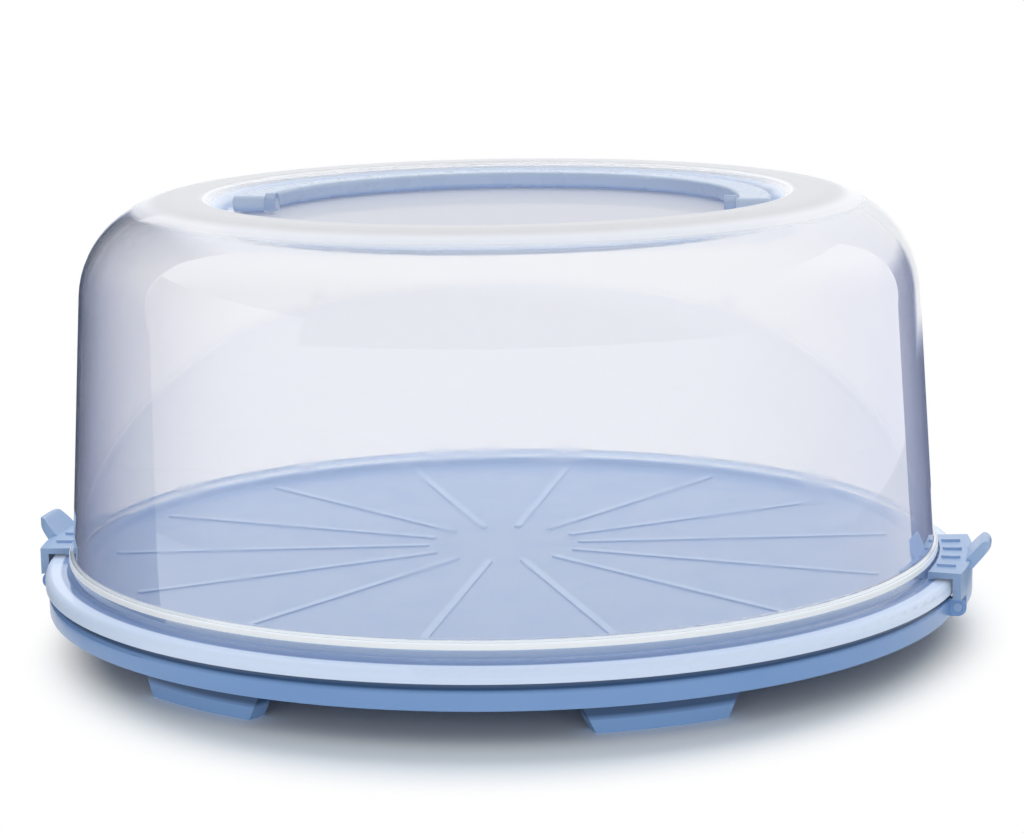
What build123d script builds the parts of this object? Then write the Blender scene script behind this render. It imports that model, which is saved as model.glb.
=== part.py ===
"""Round cake carrier: a footed tray, a clear hood, two rim clips and a swing handle.

The tray's axis is Z and the feet stand on Z = 0. The latch clip is at +X and
the clip that the hood hinges on is at -X. All sizes are in millimetres.
"""

import os
from math import asin, cos, degrees, radians, sin, sqrt, tan

from build123d import *

# Tray
plate_height = 28.0        # top of the plate above the table
tray_wall = 2.2
plate_radius = 153.0       # flat part of the plate
rim_step = 2.4             # radial run of the step from the plate up to the rim
rim_rise = 1.9             # rim above the plate
rim_drop = 6.6             # from the rim down to the ledge that the hood's flange stands on
rim_fillet = 1.2
tray_ledge_width = 8.8     # ledge outside the rim
skirt_step_drop = 5.7      # from the ledge down to the skirt's step
skirt_step = 1.6           # the skirt stands out this far below its step
skirt_height = 5.9         # below the step
portion_count = 14
portion_inner_radius = 28.0
portion_margin = 7.0       # from the lines' outer ends to the plate's edge
portion_width = 3.0
portion_rise = 0.5
foot_inset = 10.2          # feet inside the skirt
foot_wall = 7.0
foot_half_length = 23.5    # at the table
foot_angles = (60.0, 120.0, 240.0, 300.0)
under_rib_wall = 2.0
under_rib_depth = 10.8

# Hood
hood_height = 162.0
hood_wall = 2.0
hood_foot_step = 1.6       # wall's foot inside the band, radial
hood_foot_rise = 1.1       # wall's foot above the band
hood_draft = 3.6           # degrees that the wall leans in
shoulder_radius = 37.0
band_gap = 0.6             # hood's band round the tray's rim, radial
band_rise = 8.6            # band above the tray's ledge, outside
band_fillet = 0.8
flange_gap = 0.4           # flange above the tray's ledge
lip_gap = 0.8              # lip round the skirt's top, radial
lip_drop = 4.7             # lip's foot below the flange's top
lip_fillet = 2.5
flange_fillet = 1.0
top_width = 47.8           # top from the wall's line in to the dish's rim
dish_rim_fillet = 8.0
dish_depth = 9.0
dish_side_run = 2.5        # radial run of the dish's side
dish_fillet = 3.0

# Handle
handle_dish_gap = 1.6      # handle inside the dish's side
handle_width = 12.0
handle_thickness = 6.0
handle_fillet = 1.6
handle_floor_gap = 0.4
handle_pin_radius = 2.0
handle_lug_wall = 4.0
handle_lug_radius = 4.0
handle_side_gap = 0.4      # along the pivot, between the handle and its lug

# Clips
clip_length = 64.0
clip_lip_gap = 0.7         # clip wall outside the hood's lip
clip_wall = 3.0
clip_plate_wall = 2.2
clip_plate_gap = 0.9       # top plate above the flange
clip_band_gap = 0.7        # top plate's inner edge from the hood's band
clip_bead_wall = 1.6
clip_bead_gap = 0.35       # locking bead above the flange
clip_rib_count = 4
clip_rib_spacing = 4.6     # degrees round the tray's axis
clip_rib_width = 2.0
clip_rib_rise = 0.8
finger_run = 4.8           # finger lip outward
finger_rise = 4.4          # finger lip upward
finger_wall = 4.0
finger_length = 22.0
finger_corner = 9.0
pivot_rise = 3.3           # pivot axis above the skirt's foot
pivot_offset = 0.6         # pivot axis outside the skirt
barrel_radius = 2.6
barrel_length = 44.0
clip_pin_radius = 1.7
ear_wall = 4.0
ear_radius = 3.2
ear_side_gap = 0.4
ear_top_gap = 0.8          # clip wall above the ears
notch_gap = 0.6            # skirt notch round the clip's barrel

pin_clearance = 0.08       # radial, for every pin in its hole

# Worked-out places
rim_height = plate_height + rim_rise
rim_outer_radius = plate_radius + rim_step + 2 * tray_wall
tray_ledge_height = rim_height - rim_drop
skirt_top_radius = rim_outer_radius + tray_ledge_width
skirt_foot_radius = skirt_top_radius + skirt_step
skirt_step_height = tray_ledge_height - skirt_step_drop
skirt_foot_height = skirt_step_height - skirt_height
portion_outer_radius = plate_radius - portion_margin
portion_middle = (portion_inner_radius + portion_outer_radius) / 2
under_rib_foot_height = plate_height - tray_wall - under_rib_depth
foot_outer_radius = skirt_foot_radius - foot_inset
foot_inner_radius = foot_outer_radius - foot_wall
foot_top_half_length = foot_half_length + plate_height / 2
band_outer_radius = rim_outer_radius + band_gap + hood_wall
band_top_height = tray_ledge_height + band_rise
flange_height = tray_ledge_height + flange_gap + hood_wall
lip_radius = skirt_top_radius + lip_gap + hood_wall
lip_foot_height = flange_height - lip_drop
hood_foot_radius = band_outer_radius - hood_foot_step
hood_foot_height = band_top_height + hood_foot_rise


def turned(radius, angle, height):
    """Point at a radius, an angle in degrees and a height."""
    return (radius * cos(radians(angle)), radius * sin(radians(angle)), height)


def upright(angle):
    """Upright plane through the tray's axis, turned by an angle in degrees."""
    return Plane(origin=(0, 0, 0), x_dir=turned(1, angle, 0), z_dir=turned(1, angle - 90, 0))


hood_crown_radius = hood_foot_radius - (hood_height - hood_foot_height) * tan(radians(hood_draft))
dish_rim_radius = hood_crown_radius - top_width
dish_floor_radius = dish_rim_radius - dish_side_run
dish_floor_height = hood_height - dish_depth
handle_outer_radius = dish_floor_radius - handle_dish_gap
handle_inner_radius = handle_outer_radius - handle_width
handle_pivot_height = dish_floor_height + handle_floor_gap + handle_thickness / 2
handle_lug_face = handle_inner_radius - handle_side_gap
clip_inner_radius = lip_radius + clip_lip_gap
clip_outer_radius = clip_inner_radius + clip_wall
clip_wall_middle = clip_inner_radius + clip_wall / 2
clip_hook_radius = band_outer_radius + clip_band_gap
clip_plate_height = flange_height + clip_plate_gap
clip_bead_height = flange_height + clip_bead_gap
clip_top = clip_plate_height + clip_plate_wall
pivot_height = skirt_foot_height + pivot_rise
pivot_reach = skirt_foot_radius + pivot_offset
clip_foot_height = pivot_height + ear_radius + ear_top_gap
ear_centre = barrel_length / 2 + ear_side_gap + ear_wall / 2
ear_inner_face = ear_centre - ear_wall / 2
ear_outer_face = ear_centre + ear_wall / 2
ear_root = sqrt(skirt_foot_radius**2 - ear_outer_face**2) - tray_wall / 2
notch_depth = 4 * (skirt_foot_radius - sqrt(skirt_foot_radius**2 - ear_outer_face**2) + tray_wall)
clip_half_angle = degrees(clip_length / 2 / clip_inner_radius)
clip_rib_span = clip_rib_spacing * (clip_rib_count - 1)
web_half_angle = degrees(asin(barrel_length / 2 / clip_outer_radius))
finger_root = (clip_inner_radius + finger_wall / 2, clip_top - finger_wall / 2)
finger_tip = (clip_outer_radius + finger_run, clip_top + finger_rise)

os.makedirs("parts", exist_ok=True)

# Base tray: feet first, then the thin shell, its ribs and the ears for the clips.
foot_planes = [upright(angle + 90) for angle in foot_angles]

with BuildPart() as base_tray:
    with BuildSketch():
        Circle(foot_outer_radius)
        Circle(foot_inner_radius, mode=Mode.SUBTRACT)
    extrude(amount=plate_height - tray_wall / 2)
    with BuildSketch(*foot_planes):
        with BuildLine():
            Polyline(
                (-foot_half_length, 0),
                (foot_half_length, 0),
                (foot_top_half_length, plate_height),
                (-foot_top_half_length, plate_height),
                close=True,
            )
        make_face()
    extrude(amount=foot_outer_radius + tray_wall, mode=Mode.INTERSECT)

    with BuildSketch(Plane.XZ) as tray_section:
        with BuildLine():
            FilletPolyline(
                (0, plate_height),
                (plate_radius, plate_height),
                (plate_radius + rim_step, rim_height),
                (rim_outer_radius, rim_height),
                (rim_outer_radius, tray_ledge_height),
                (skirt_top_radius, tray_ledge_height),
                (skirt_top_radius, skirt_step_height + skirt_step),
                (skirt_foot_radius, skirt_step_height),
                (skirt_foot_radius, skirt_foot_height),
                radius=rim_fillet,
            )
            offset(amount=tray_wall, side=Side.RIGHT)
        make_face()
    revolve(axis=Axis.Z)

    with BuildSketch(Plane.XY.offset(under_rib_foot_height)):
        Circle(foot_inner_radius + under_rib_wall)
        Circle(foot_inner_radius, mode=Mode.SUBTRACT)
    extrude(amount=plate_height - tray_wall / 2 - under_rib_foot_height)

    with BuildSketch(Plane.XY.offset(plate_height)):
        with PolarLocations(portion_middle, portion_count, start_angle=90):
            SlotOverall(portion_outer_radius - portion_inner_radius, portion_width)
    extrude(amount=portion_rise)

    with BuildSketch(Plane.XY.offset(pivot_height + barrel_radius + notch_gap)):
        with Locations((-skirt_foot_radius, 0), (skirt_foot_radius, 0)):
            Rectangle(notch_depth, 2 * ear_inner_face)
    extrude(amount=-pivot_height, mode=Mode.SUBTRACT)

    for side in (-1, 1):
        for place in (-ear_centre, ear_centre):
            with BuildSketch(Plane.XZ.offset(-place)):
                with Locations((side * pivot_reach, pivot_height)):
                    Circle(ear_radius)
                with Locations((side * (pivot_reach + ear_root) / 2, pivot_height)):
                    Rectangle(pivot_reach - ear_root, 2 * ear_radius)
                with Locations((side * pivot_reach, pivot_height)):
                    Circle(clip_pin_radius + pin_clearance, mode=Mode.SUBTRACT)
            extrude(amount=ear_wall / 2, both=True)

hood_fillets = [
    lip_fillet,
    flange_fillet,
    band_fillet,
    band_fillet,
    shoulder_radius,
    dish_rim_fillet,
    dish_fillet,
]

# Hood: one thin wall from the lip over the shoulder to the dish, and the handle's lugs.
with BuildPart() as hood:
    with BuildSketch(Plane.XZ):
        with BuildLine():
            FilletPolyline(
                (lip_radius, lip_foot_height),
                (lip_radius, flange_height),
                (band_outer_radius, flange_height),
                (band_outer_radius, band_top_height),
                (hood_foot_radius, hood_foot_height),
                (hood_crown_radius, hood_height),
                (dish_rim_radius, hood_height),
                (dish_floor_radius, dish_floor_height),
                (0, dish_floor_height),
                radius=hood_fillets,
            )
            offset(amount=hood_wall, side=Side.LEFT)
        make_face()
    revolve(axis=Axis.Z)

    lug_middle = handle_lug_face - handle_lug_wall / 2
    lug_root = dish_floor_height - hood_wall / 2
    lug_planes = [Plane.YZ.offset(-lug_middle), Plane.YZ.offset(lug_middle)]
    with BuildSketch(*lug_planes):
        with Locations((0, handle_pivot_height)):
            Circle(handle_lug_radius)
        with Locations((0, (lug_root + handle_pivot_height) / 2)):
            Rectangle(2 * handle_lug_radius, handle_pivot_height - lug_root)
        with Locations((0, handle_pivot_height)):
            Circle(handle_pin_radius + pin_clearance, mode=Mode.SUBTRACT)
    extrude(amount=handle_lug_wall / 2, both=True)

# Carry handle: a half ring that lies on the dish, with round ends and inward pins.
with BuildPart() as carry_handle:
    with BuildSketch(Plane.XY.offset(handle_pivot_height)):
        Circle(handle_outer_radius)
        Circle(handle_inner_radius, mode=Mode.SUBTRACT)
        with Locations((0, -handle_outer_radius)):
            Rectangle(2 * handle_outer_radius, 2 * handle_outer_radius, mode=Mode.SUBTRACT)
    extrude(amount=handle_thickness / 2, both=True)
    round_edges = carry_handle.edges().filter_by(GeomType.CIRCLE).group_by(Axis.Z)
    fillet(round_edges[0] + round_edges[-1], radius=handle_fillet)
    for side in (-1, 1):
        with BuildSketch(Plane.YZ.offset(side * handle_inner_radius)):
            with Locations((0, handle_pivot_height)):
                Circle(handle_thickness / 2)
        extrude(amount=side * handle_width)
        with BuildSketch(Plane.YZ.offset(side * handle_inner_radius)):
            with Locations((0, handle_pivot_height)):
                Circle(handle_pin_radius)
        extrude(amount=-side * (handle_side_gap + handle_lug_wall))

# Latch clip: a curved channel over the hood's flange, swinging on two pins in the ears.
# The finger lip comes first, trimmed to its round-cornered outline.
clip_start = upright(-clip_half_angle)

with BuildPart() as latch_clip:
    with BuildSketch(clip_start):
        with BuildLine():
            Line(finger_root, finger_tip)
            offset(amount=finger_wall / 2)
        make_face()
    revolve(axis=Axis.Z, revolution_arc=2 * clip_half_angle)
    with BuildSketch():
        with Locations((clip_outer_radius - finger_length / 2 + finger_run + finger_wall / 2, 0)):
            RectangleRounded(finger_length, finger_length, finger_corner)
    extrude(amount=hood_height, mode=Mode.INTERSECT)

    with BuildSketch(clip_start):
        with BuildLine():
            Polyline(
                (clip_hook_radius, clip_bead_height),
                (clip_hook_radius + clip_bead_wall, clip_bead_height),
                (clip_hook_radius + 2 * clip_bead_wall, clip_plate_height),
                (clip_inner_radius, clip_plate_height),
                (clip_inner_radius, clip_foot_height),
                (clip_outer_radius, clip_foot_height),
                (clip_outer_radius, clip_top),
                (clip_hook_radius, clip_top),
                close=True,
            )
        make_face()
    revolve(axis=Axis.Z, revolution_arc=2 * clip_half_angle)

    with BuildSketch(Plane.XY.offset(clip_top)):
        with PolarLocations(
            (clip_hook_radius + clip_inner_radius) / 2,
            clip_rib_count,
            start_angle=-clip_rib_span / 2,
            angular_range=clip_rib_span,
            endpoint=True,
        ):
            SlotOverall(clip_inner_radius - clip_hook_radius - clip_rib_width, clip_rib_width)
    extrude(amount=clip_rib_rise)

    with BuildSketch(upright(-web_half_angle)):
        with Locations((clip_wall_middle, (pivot_height + clip_foot_height) / 2)):
            Rectangle(clip_wall, clip_foot_height - pivot_height)
    revolve(axis=Axis.Z, revolution_arc=2 * web_half_angle)
    with BuildSketch(Plane.XZ):
        with Locations((pivot_reach, pivot_height)):
            Circle(barrel_radius)
    extrude(amount=barrel_length / 2, both=True)
    with BuildSketch(Plane.XZ):
        with Locations((pivot_reach, pivot_height)):
            Circle(clip_pin_radius)
    extrude(amount=ear_outer_face, both=True)

# Hinge clip: the same moulding on the opposite side.
with BuildPart() as hinge_clip:
    add(latch_clip.part.rotate(Axis.Z, 180))

base_tray.part.label = "base_tray"
hood.part.label = "hood"
carry_handle.part.label = "carry_handle"
latch_clip.part.label = "latch_clip"
hinge_clip.part.label = "hinge_clip"

export_step(base_tray.part, "parts/base_tray.step")
export_step(hood.part, "parts/hood.step")
export_step(carry_handle.part, "parts/carry_handle.step")
export_step(latch_clip.part, "parts/latch_clip.step")
export_step(hinge_clip.part, "parts/hinge_clip.step")
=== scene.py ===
import math

import bpy
from mathutils import Matrix, Vector


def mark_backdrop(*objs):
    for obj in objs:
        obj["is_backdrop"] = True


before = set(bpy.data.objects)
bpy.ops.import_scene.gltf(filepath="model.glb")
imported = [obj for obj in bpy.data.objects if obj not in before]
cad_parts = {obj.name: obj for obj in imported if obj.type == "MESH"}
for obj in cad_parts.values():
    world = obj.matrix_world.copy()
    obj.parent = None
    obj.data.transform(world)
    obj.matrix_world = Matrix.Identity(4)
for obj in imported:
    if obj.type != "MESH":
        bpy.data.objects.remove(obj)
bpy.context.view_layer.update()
print("frame loaded:", ", ".join(sorted(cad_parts)))

plainWhite = (1.0, 1.0, 1.0)
mixFirst, mixSecond, mixResult = 6, 7, 2     # the Mix node's sockets for colours


class Wire:  # an output socket that adds, subtracts and multiplies; with no socket, only a node tree
    def __init__(self, tree, socket=None):
        self.tree = tree
        self.socket = socket

    def node(self, kind, settings=None, sockets=None, output=0):  # settings first, then values or links
        made = self.tree.nodes.new(kind)
        for name, value in (settings or {}).items():
            setattr(made, name, value)
        for name, value in (sockets or {}).items():
            if isinstance(value, Wire):
                self.tree.links.new(value.socket, made.inputs[name])
            else:
                made.inputs[name].default_value = value
        return Wire(self.tree, made.outputs[output] if made.outputs else None)

    def sibling(self, output):  # another output of the same node
        return Wire(self.tree, self.socket.node.outputs[output])

    def maths(self, operation, first, second):
        return self.node("ShaderNodeMath", {"operation": operation}, {0: first, 1: second})

    def __add__(self, other):
        return self.maths("ADD", self, other)

    def __radd__(self, other):
        return self.maths("ADD", other, self)

    def __sub__(self, other):
        return self.maths("SUBTRACT", self, other)

    def __rsub__(self, other):
        return self.maths("SUBTRACT", other, self)

    def __mul__(self, other):
        return self.maths("MULTIPLY", self, other)

    def __rmul__(self, other):
        return self.maths("MULTIPLY", other, self)

    def __pow__(self, other):
        return self.maths("POWER", self, other)

    def __rpow__(self, other):
        return self.maths("POWER", other, self)

    def __abs__(self):
        return self.maths("ABSOLUTE", self, 0.0)

    def most(self, other):  # the larger of the two
        return self.maths("MAXIMUM", self, other)

    def ramp(self, low, high):  # 0 below low, 1 above high, smooth between
        sockets = {"Value": self, "From Min": low, "From Max": high}
        return self.node("ShaderNodeMapRange", {"interpolation_type": "SMOOTHSTEP"}, sockets)

    def past(self, start, fade):  # 1 beyond start
        return self.ramp(start, start + fade)

    def within(self, end, fade):  # 1 up to end
        return 1.0 - self.past(end, fade)


def newMaterial(name, viewColour):
    material = bpy.data.materials.new(name)
    material.diffuse_color = (*viewColour, 1.0)
    material.use_nodes = True
    material.node_tree.nodes.clear()
    return material, Wire(material.node_tree)


def closeMaterial(nodes, shader):
    nodes.node("ShaderNodeOutputMaterial", None, {"Surface": shader})


def paint(colour):  # a wire as it is, a plain colour with its alpha
    return colour if isinstance(colour, Wire) else (*colour, 1.0)


def blendColours(nodes, mask, first, second):
    sockets = {"Factor": mask, mixFirst: paint(first), mixSecond: paint(second)}
    return nodes.node("ShaderNodeMix", {"data_type": "RGBA"}, sockets, mixResult)


def layColours(nodes, colour, layers):  # each layer is a mask and the colour that it brings
    for mask, tone in layers:
        colour = blendColours(nodes, mask, colour, tone)
    return colour


def scaleColour(nodes, colour, level):
    return nodes.node("ShaderNodeVectorMath", {"operation": "SCALE"}, {0: colour, "Scale": level})


def mixShaders(nodes, mask, first, second):
    return nodes.node("ShaderNodeMixShader", None, {0: mask, 1: first, 2: second})


def noiseAt(nodes, place, scale, detail):
    return nodes.node("ShaderNodeTexNoise", None, {"Vector": place, "Scale": scale, "Detail": detail})


def heightOf(nodes, place):
    return nodes.node("ShaderNodeSeparateXYZ", None, {"Vector": place}, "Z")


def reachOf(nodes, place, share=(1.0, 1.0, 0.0)):  # distance from the upright axis
    flat = nodes.node("ShaderNodeVectorMath", {"operation": "MULTIPLY"}, {0: place, 1: share})
    return nodes.node("ShaderNodeVectorMath", {"operation": "LENGTH"}, {0: flat}, "Value")


def anyRay(nodes, *kinds):  # 1 for a ray of one of these kinds
    rays = nodes.node("ShaderNodeLightPath")
    mask = rays.sibling(kinds[0])
    for kind in kinds[1:]:
        mask = mask.most(rays.sibling(kind))
    return mask


# Blue moulded plastic, as the tray, both clips and the handle share it; the clips and the handle have paler
# copies of its blue, which is painted light. Scales are per metre.
bluePlain = {
    "flowScale": 14.0,                       # clouds left by the mould
    "flowDetail": 3.0,
    "flowSpan": (0.35, 0.65),
    "scuffScale": 90.0,
    "scuffDetail": 6.0,
    "scuffSpan": (0.40, 0.75),
    "roughnessSpread": 0.10,                 # added where it is scuffed
    "grainScale": 1800.0,                    # moulded grain
    "grainDetail": 2.0,
    "coatRoughness": 0.12,
    "index": 1.49,
}
trayPlastic = dict(
    bluePlain,
    colour=(0.195, 0.375, 0.720),
    flowColour=(0.215, 0.395, 0.735),
    roughness=0.29,
    grainHeight=0.00002,
    clearCoat=0.3,
)
# painted light: a paler copy of the tray's blue, so the clips read lit from above
clipPlasticPaintedLight = dict(
    bluePlain,
    colour=(0.315, 0.480, 0.760),
    flowColour=(0.335, 0.500, 0.770),
    roughness=0.30,
    grainHeight=0.00001,
    clearCoat=0.15,
)
# painted light: a paler copy of the tray's blue, so the handle reads lighter
handlePlasticPaintedLight = dict(
    bluePlain,
    colour=(0.53, 0.64, 0.83),
    flowColour=(0.55, 0.66, 0.84),
    roughness=0.26,
    grainHeight=0.00001,
    clearCoat=0.2,
)

# Parts of the tray given other colours, all painted light or shade: shade on the plate, in the gap and high
# on the feet, highlights on the portion lines and light low on the feet. Heights, radii and fades are in
# metres.
trayParts = {
    "heightFade": 0.0002,
    "radiusFade": 0.001,
    "plateShadeColour": (0.165, 0.335, 0.665),    # painted shade: the plate a darker copy of the rim's blue
    "plateHeight": 0.0274,
    "plateReach": 0.151,
    "lineHighlightColour": (0.30, 0.49, 0.81),        # raised portion lines and their sides, with a painted highlight that makes them paler
    "lineHeight": 0.02805,
    "lineReach": 0.149,
    "footColour": (0.27, 0.48, 0.84),        # the lowest part of the feet, lit from the table
    "footTop": 0.0044,
    "shadeColour": (0.018, 0.070, 0.18),     # in the gap above the skirt and high on the feet
    "shadeDepth": 0.9,
    "shadeTop": 0.0240,
    "gapHeights": (0.0180, 0.0188),          # the gap's shade begins between these heights
    "gapReach": 0.1660,
    "gapFade": 0.0005,
    "footHeights": (0.0044, 0.0066),         # and the shade on the feet between these
    "footReach": 0.1520,
    "footEnd": (0.1630, 0.1640),             # it ends between these radii
}


def trayLayers(nodes, place, look):
    height = heightOf(nodes, place)
    reach = reachOf(nodes, place)
    step, edge = look["heightFade"], look["radiusFade"]
    # painted shade on the plate
    plate = height.past(look["plateHeight"], step) * reach.within(look["plateReach"], edge)
    # painted highlight on the raised portion lines
    lines = height.past(look["lineHeight"], step) * reach.within(look["lineReach"], edge)
    gap = height.ramp(*look["gapHeights"]) * reach.past(look["gapReach"], look["gapFade"])
    high = height.ramp(*look["footHeights"]) * reach.past(look["footReach"], edge)
    high = high * (1.0 - reach.ramp(*look["footEnd"]))
    shade = height.within(look["shadeTop"], step) * gap.most(high)
    return (
        (plate, look["plateShadeColour"]),
        (lines, look["lineHighlightColour"]),
        (height.within(look["footTop"], step), look["footColour"]),
        (look["shadeDepth"] * shade, look["shadeColour"]),
    )


def bluePlastic(name, look, parts=None):
    material, nodes = newMaterial(name, look["colour"])
    place = nodes.node("ShaderNodeTexCoord", output="Object")
    clouds = noiseAt(nodes, place, look["flowScale"], look["flowDetail"]).ramp(*look["flowSpan"])
    colour = blendColours(nodes, clouds, look["colour"], look["flowColour"])
    if parts:
        colour = layColours(nodes, colour, trayLayers(nodes, place, parts))
    scuffs = noiseAt(nodes, place, look["scuffScale"], look["scuffDetail"]).ramp(*look["scuffSpan"])
    grain = noiseAt(nodes, place, look["grainScale"], look["grainDetail"])
    normal = nodes.node("ShaderNodeBump", None, {"Height": grain, "Distance": look["grainHeight"]})
    shader = nodes.node("ShaderNodeBsdfPrincipled", None, {
        "Base Color": colour,
        "Roughness": look["roughness"] + look["roughnessSpread"] * scuffs,
        "Normal": normal,
        "IOR": look["index"],
        "Coat Weight": look["clearCoat"],
        "Coat Roughness": look["coatRoughness"],
    })
    closeMaterial(nodes, shader)
    return material


# Clear moulded plastic of the hood: darker where the wall is seen edge on, partly a tint and partly a painted
# reflection of dim surroundings, milky at its thick foot.
# Heights, radii and fades are in metres. A tilt is 0 on a level face and 1 on an upright one.
hoodPlastic = {
    "colour": (0.986, 0.975, 0.972),
    # painted reflection of dim surroundings where the wall is seen edge on, partly a tint of the longer path
    "edgeTintAndReflectionColour": (0.03, 0.07, 0.42),
    "edgePower": 2.4,
    "edgeDepth": 0.95,
    "wallTilt": (0.40, 0.80),                # the edge darkens only on the wall
    "roughness": 0.03,
    "smearScale": 60.0,                      # smears of handling, per metre
    "smearDetail": 4.0,
    "smearSpan": (0.45, 0.75),
    "smearRoughness": 0.05,
    "index": 1.57,
    "shine": 1.0,                            # polished coat
    "shineRoughness": 0.03,
    "wallLamp": (0.955, 0.96, 0.975),        # what the wall lets through to the tray
    "lipLamp": (0.20, 0.25, 0.36),           # and the milky lip
    "haze": 0.05,
    "frostColour": (0.70, 0.82, 1.0),
    "frostRoughness": 0.35,
    "frostPaintedGlow": 0.16,                       # painted glow, standing in for light spread inside the milky parts
    "frostFade": 0.0012,
    "flangeTop": 0.0262,                     # frosted below this height
    "flangeFrost": 0.45,
    "flangeColour": (0.24, 0.37, 0.66),
    "lipReach": 0.1648,                      # and more so outside this radius
    "lipFrost": 0.85,
    "seamHeights": (0.0297, 0.0320),         # painted highlight: a milky, near-white line where the wall stands on the band
    "seamFade": 0.0004,
    "seamHighlightVeil": 0.9,
    "seamHighlightColour": (0.92, 0.97, 1.0),
    "topFrom": 0.140,                        # level top, which gleams when seen flat
    "topTilt": (0.09, 0.13),
    "topVeil": 0.90,
    "topColour": (0.57, 0.58, 0.61),
    "rimTilt": (0.012, 0.060),               # painted light, lighter where the top begins to fall away
    "rimPaintedLightColour": (0.84, 0.86, 0.90),
    "dishFrom": 0.1534,                      # lugs and side of the dish, a little frosted
    "dishReach": 0.1050,
    "dishFade": 0.001,
    "dishFrost": 0.5,
    "dishColour": (0.47, 0.49, 0.56),
    "lugReach": 0.1010,
    "lugFade": 0.0005,
    "lugColour": (0.30, 0.40, 0.60),
}


def hoodZones(nodes, place, look):  # a mask for each zone of the hood
    height = heightOf(nodes, place)
    reach = reachOf(nodes, place)
    tilt = 1.0 - abs(heightOf(nodes, place.sibling("Normal")))
    fade = look["frostFade"]
    seamBottom, seamTop = look["seamHeights"]
    flange = height.within(look["flangeTop"], fade)
    top = height.past(look["topFrom"], fade) * (1.0 - tilt.ramp(*look["topTilt"]))
    dish = height.past(look["dishFrom"], look["lugFade"]) * reach.within(look["dishReach"], look["dishFade"])
    inner = reach.within(look["lugReach"], look["lugFade"])
    return {
        "wall": tilt.ramp(*look["wallTilt"]),
        "flange": flange,
        "lip": flange * reach.past(look["lipReach"], fade),
        "seam": height.past(seamBottom, look["seamFade"]) * height.within(seamTop, look["seamFade"]),
        "top": top,
        "topRimLight": top * tilt.ramp(*look["rimTilt"]),
        "dish": dish,
        "dishFloor": top * inner,
        "lugs": dish * inner,
    }


def clearBody(nodes, place, facing, wall, look):
    # painted reflection, partly a tint: the wall darker where it is seen edge on
    edge = facing ** look["edgePower"] * look["edgeDepth"] * wall
    smears = noiseAt(nodes, place, look["smearScale"], look["smearDetail"]).ramp(*look["smearSpan"])
    return nodes.node("ShaderNodeBsdfPrincipled", None, {
        "Base Color": blendColours(nodes, edge, look["colour"], look["edgeTintAndReflectionColour"]),
        "Roughness": look["roughness"] + look["smearRoughness"] * smears,
        "IOR": look["index"],
        "Transmission Weight": 1.0,
        "Coat Weight": look["shine"],
        "Coat Roughness": look["shineRoughness"],
    })


def milkyBody(nodes, zones, look):
    frost = layColours(nodes, look["frostColour"], (
        (zones["top"], look["topColour"]),
        # painted light on the top's rim
        (zones["topRimLight"], look["rimPaintedLightColour"]),
        (zones["dishFloor"], look["dishColour"]),
        # painted highlight on the seam
        (zones["seam"], look["seamHighlightColour"]),
        (zones["lugs"], look["lugColour"]),
        (zones["flange"] * (1.0 - zones["lip"]), look["flangeColour"]),
    ))
    return nodes.node("ShaderNodeBsdfPrincipled", None, {
        "Base Color": frost,
        "Roughness": look["frostRoughness"],
        "IOR": look["index"],
        # painted glow: the milky parts give off light in their own colours
        "Emission Color": frost,
        "Emission Strength": look["frostPaintedGlow"],
    })


def clearPlastic(name, look):
    material, nodes = newMaterial(name, look["colour"])
    place = nodes.node("ShaderNodeTexCoord", output="Object")
    facing = nodes.node("ShaderNodeLayerWeight", output="Facing")
    zones = hoodZones(nodes, place, look)
    veil = look["haze"] + zones["flange"] * (look["flangeFrost"] - look["haze"])
    veil = veil + zones["lip"] * (look["lipFrost"] - look["flangeFrost"])
    # painted highlight: the seam made milky
    veil = veil + zones["seam"] * look["seamHighlightVeil"]
    gleam = zones["top"] * facing * look["topVeil"]
    veil = veil + gleam.most(zones["dish"] * look["dishFrost"])
    clear = clearBody(nodes, place, facing, zones["wall"], look)
    body = mixShaders(nodes, veil, clear, milkyBody(nodes, zones, look))
    wallOpen = nodes.node("ShaderNodeBsdfTransparent", None, {"Color": paint(look["wallLamp"])})
    lipOpen = nodes.node("ShaderNodeBsdfTransparent", None, {"Color": paint(look["lipLamp"])})
    opened = mixShaders(nodes, zones["lip"], wallOpen, lipOpen)     # so that light reaches the tray
    lighting = anyRay(nodes, "Is Shadow Ray", "Is Diffuse Ray")
    closeMaterial(nodes, mixShaders(nodes, lighting, body, opened))
    return material


def finishNode(nodeName, material):
    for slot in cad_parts[nodeName].material_slots:
        slot.material = material
    print("finished", nodeName, "with", material.name)


finishNode("base_tray", bluePlastic("trayPlastic", trayPlastic, trayParts))
finishNode("latch_clip", bluePlastic("latchPlasticPaintedLight", clipPlasticPaintedLight))
finishNode("hinge_clip", bluePlastic("hingePlasticPaintedLight", clipPlasticPaintedLight))
finishNode("carry_handle", bluePlastic("handlePlasticPaintedLight", handlePlasticPaintedLight))
finishNode("hood", clearPlastic("hoodPlastic", hoodPlastic))

# Table top: it keeps the shadow near the object and turns into a white backdrop farther out.
table = {
    "halfSide": 12.0,
    "colour": (0.80, 0.80, 0.80),            # as it lights the object
    "seenColour": (0.96, 0.99, 1.0),         # as the eye sees it
    "seenExtra": (0.02, 0.06, 0.10),         # and a little above the light that it gives back; bluish, a painted tint that shows in the object's shadow
    "centre": (0.008, -0.001, 0.0),
    "share": (1.0, 0.82, 0.0),               # lengths along Y count for less
    "whiteSpan": (0.151, 0.184),             # metres from the centre over which it turns white
}


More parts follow.
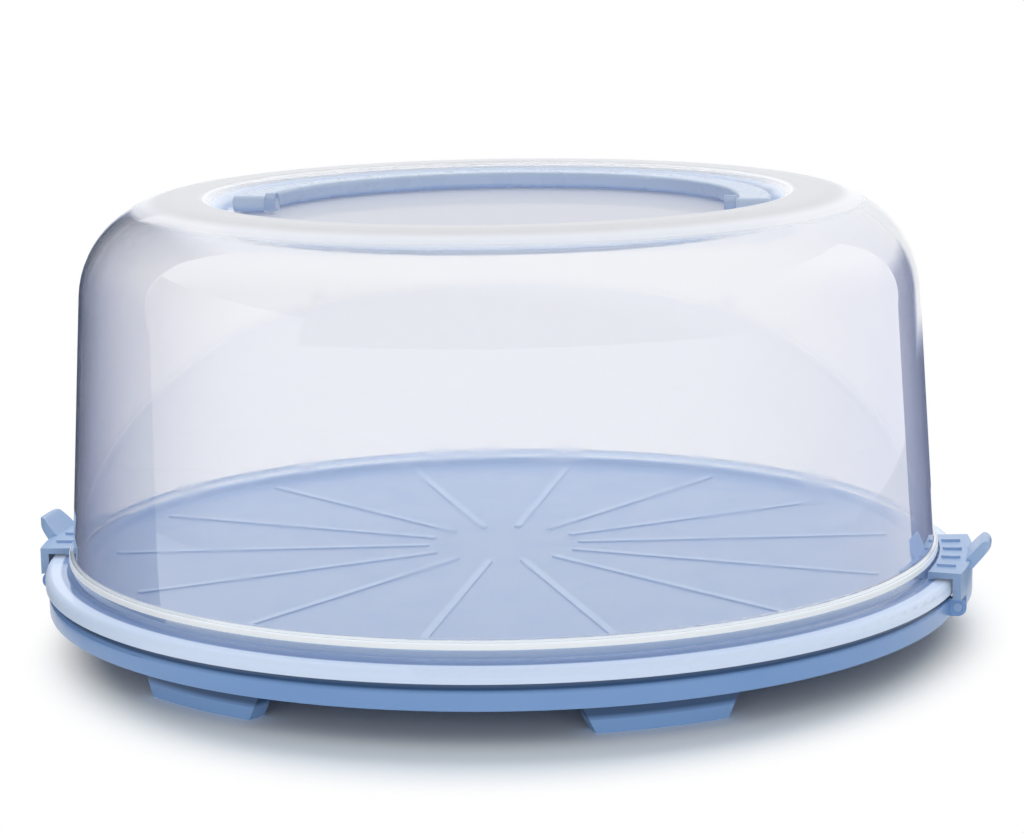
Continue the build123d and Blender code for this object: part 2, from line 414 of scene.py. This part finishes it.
def makeTable(look):
    half = look["halfSide"]
    corners = [(-half, -half, 0), (half, -half, 0), (half, half, 0), (-half, half, 0)]
    mesh = bpy.data.meshes.new("table")
    mesh.from_pydata(corners, [], [(0, 1, 2, 3)])
    floor = bpy.data.objects.new("table", mesh)
    bpy.context.scene.collection.objects.link(floor)
    material, nodes = newMaterial("paleTable", look["colour"])
    plain, seen, extra = (
        nodes.node("ShaderNodeBsdfDiffuse", None, {"Color": paint(look[tone])})
        for tone in ("colour", "seenColour", "seenExtra")
    )
    bright = nodes.node("ShaderNodeAddShader", None, {0: seen, 1: extra})
    white = nodes.node("ShaderNodeEmission", None, {"Color": paint(plainWhite)})
    place = nodes.node("ShaderNodeTexCoord", output="Object")
    moved = nodes.node("ShaderNodeVectorMath", {"operation": "SUBTRACT"}, {0: place, 1: look["centre"]})
    far = reachOf(nodes, moved, look["share"]).ramp(*look["whiteSpan"])
    eye = anyRay(nodes, "Is Camera Ray", "Is Transmission Ray", "Is Glossy Ray")
    closeMaterial(nodes, mixShaders(nodes, eye, plain, mixShaders(nodes, far, bright, white)))
    mesh.materials.append(material)
    print("table in place")
    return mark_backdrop(floor)


makeTable(table)

# Light: a soft sky, which gloss mirrors dimmer in front of the object than behind and above it.
sky = {
    "colour": (0.97, 0.98, 1.0),
    "level": 0.55,
    "frontLevel": 0.55,
    "backLevel": 1.0,
    "upward": 0.6,                           # how far up and right count as behind
    "rightward": 0.35,
    "span": (-0.25, 0.35),
}


def makeSky(look):
    world = bpy.data.worlds.new("studio")
    bpy.context.scene.world = world
    world.use_nodes = True
    world.node_tree.nodes.clear()
    nodes = Wire(world.node_tree)
    back = nodes.node("ShaderNodeSeparateXYZ", None, {
        "Vector": nodes.node("ShaderNodeTexCoord", output="Generated"),
    }, "Y")
    turned = back + look["upward"] * back.sibling("Z") + look["rightward"] * back.sibling("X")
    level = look["frontLevel"] + (look["backLevel"] - look["frontLevel"]) * turned.ramp(*look["span"])
    soft = nodes.node("ShaderNodeBackground", None, {
        "Color": paint(look["colour"]),
        "Strength": look["level"],
    })
    gloss = nodes.node("ShaderNodeBackground", None, {"Color": scaleColour(nodes, look["colour"], level)})
    white = nodes.node("ShaderNodeBackground", None, {"Color": paint(plainWhite)})
    lit = mixShaders(nodes, anyRay(nodes, "Is Glossy Ray"), soft, gloss)
    seen = anyRay(nodes, "Is Camera Ray", "Is Transmission Ray")
    nodes.node("ShaderNodeOutputWorld", None, {"Surface": mixShaders(nodes, seen, lit, white)})
    print("sky in place")


makeSky(sky)

# Lamps: a wide one high behind the object and a low wide fill in front of it.
lamps = {
    "overhead": {"place": (-0.22, 1.05, 1.05), "size": (1.3, 1.15), "power": 13.5},
    "fill": {"place": (0.32, -1.65, 0.36), "size": (1.8, 0.7), "power": 6.4},
}
lampAim = (0.0, 0.0, 0.08)


def makeLamp(name, look):
    lamp = bpy.data.lights.new(name, "AREA")
    lamp.shape = "RECTANGLE"
    lamp.size, lamp.size_y = look["size"]
    lamp.energy = look["power"]
    holder = bpy.data.objects.new(name, lamp)
    bpy.context.scene.collection.objects.link(holder)
    holder.location = look["place"]
    holder.rotation_euler = (Vector(lampAim) - Vector(look["place"])).to_track_quat("-Z", "Y").to_euler()
    holder.visible_glossy = False
    holder.visible_transmission = False
    print("lamp in place:", name)


for lampName, lampLook in lamps.items():
    makeLamp(lampName, lampLook)

# Cards round the object, which show only in gloss: dim at both sides and white behind. Each has its own
# level and colour, and is plain white of level 1 where it has faded out.
cardTurn = 10.8                              # degrees round the object, as the camera is turned
dimColour = (0.50, 0.60, 1.0)
cards = {
    "leftCard": {
        "level": 0.10,
        "colour": dimColour,
        "fadeUp": (0.50, 0.80),              # it fades out between these heights
        "fadeBack": (1.1, 1.9),              # and between these places along Y
        "faces": (
            ((-0.19, -0.110, 0.002), (-0.50, -0.030, 0.002), (-0.50, 2.0, 0.002), (-0.20, 2.0, 0.002)),
            ((-0.50, -0.030, 0.002), (-0.50, 2.0, 0.002), (-0.50, 2.0, 0.80), (-0.50, 0.280, 0.80)),
        ),
    },
    "leftFade": {
        "level": 0.20,
        "colour": plainWhite,
        "growBack": (-0.40, 0.05),           # it comes to its own level between these along Y
        "faces": (((-0.50, -0.46, 0.002), (-0.50, -0.03, 0.002), (-0.50, 0.10, 0.35), (-0.50, -0.46, 0.35)),),
    },
    "rightGlow": {
        "level": 1.3,
        "colour": plainWhite,
        "growBack": (-0.15, 0.25),
        "faces": (((0.50, -0.25, 0.002), (0.50, 0.29, 0.002), (0.50, 0.29, 0.45), (0.50, -0.25, 0.45)),),
    },
    "rightCard": {
        "level": 0.26,
        "colour": dimColour,
        "fadeUp": (0.16, 0.25),
        "fadeBack": (0.62, 0.85),
        "faces": (
            ((0.20, -0.01, 0.002), (0.50, 0.29, 0.002), (0.50, 0.90, 0.002), (0.20, 0.90, 0.002)),
            ((0.50, 0.29, 0.002), (0.50, 0.90, 0.002), (0.50, 0.90, 0.25), (0.50, 0.29, 0.25)),
        ),
    },
    "whiteCard": {
        "level": 0.95,
        "colour": plainWhite,
        "faces": (((-0.70, 1.08, 0.45), (0.49, 1.08, 0.45), (0.49, 1.08, 2.2), (-0.70, 1.08, 2.2)),),
    },
}


def makeCard(name, look):
    material, nodes = newMaterial(name, (look["level"],) * 3)
    height = heightOf(nodes, nodes.node("ShaderNodeTexCoord", output="Object"))
    backward = height.sibling("Y")
    own = 1.0                                # how far the card has its own level and colour
    if "fadeUp" in look:
        own = 1.0 - height.ramp(*look["fadeUp"]).most(backward.ramp(*look["fadeBack"]))
    elif "growBack" in look:
        own = backward.ramp(*look["growBack"])
    colour = blendColours(nodes, own, plainWhite, look["colour"])
    colour = scaleColour(nodes, colour, 1.0 + (look["level"] - 1.0) * own)
    closeMaterial(nodes, nodes.node("ShaderNodeEmission", None, {"Color": colour}))
    mesh = bpy.data.meshes.new(name)
    corners = [corner for face in look["faces"] for corner in face]
    starts = range(0, len(corners), 4)
    mesh.from_pydata(corners, [], [(start, start + 1, start + 2, start + 3) for start in starts])
    mesh.transform(Matrix.Rotation(math.radians(cardTurn), 4, "Z"))
    mesh.materials.append(material)
    card = bpy.data.objects.new(name, mesh)
    bpy.context.scene.collection.objects.link(card)
    card.visible_camera = False
    card.visible_diffuse = False
    card.visible_transmission = False
    card.visible_shadow = False
    print("card in place:", name)
    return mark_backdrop(card)


for cardName, cardLook in cards.items():
    makeCard(cardName, cardLook)

# Camera. Angles are in degrees, lens and sensor in millimetres.
view = {
    "place": (0.20605, -1.05918, 0.27644),
    "turn": 10.8,                            # to the left of +Y
    "tilt": 10.4887,                         # down
    "roll": -0.936,
    "lens": 102.94,
    "sensor": 36.0,
    "nearest": 0.05,
    "farthest": 60.0,
}


def makeCamera(look):
    camera = bpy.data.cameras.new("camera")
    camera.lens = look["lens"]
    camera.sensor_width = look["sensor"]
    camera.clip_start = look["nearest"]
    camera.clip_end = look["farthest"]
    holder = bpy.data.objects.new("camera", camera)
    bpy.context.scene.collection.objects.link(holder)
    turn = Matrix.Rotation(math.radians(look["turn"]), 4, "Z")
    tilt = Matrix.Rotation(math.radians(90 - look["tilt"]), 4, "X")
    roll = Matrix.Rotation(math.radians(look["roll"]), 4, "Z")
    holder.matrix_world = Matrix.Translation(look["place"]) @ turn @ tilt @ roll
    bpy.context.scene.camera = holder
    print("camera in place")


makeCamera(view)
bpy.context.scene.view_settings.view_transform = "Standard"
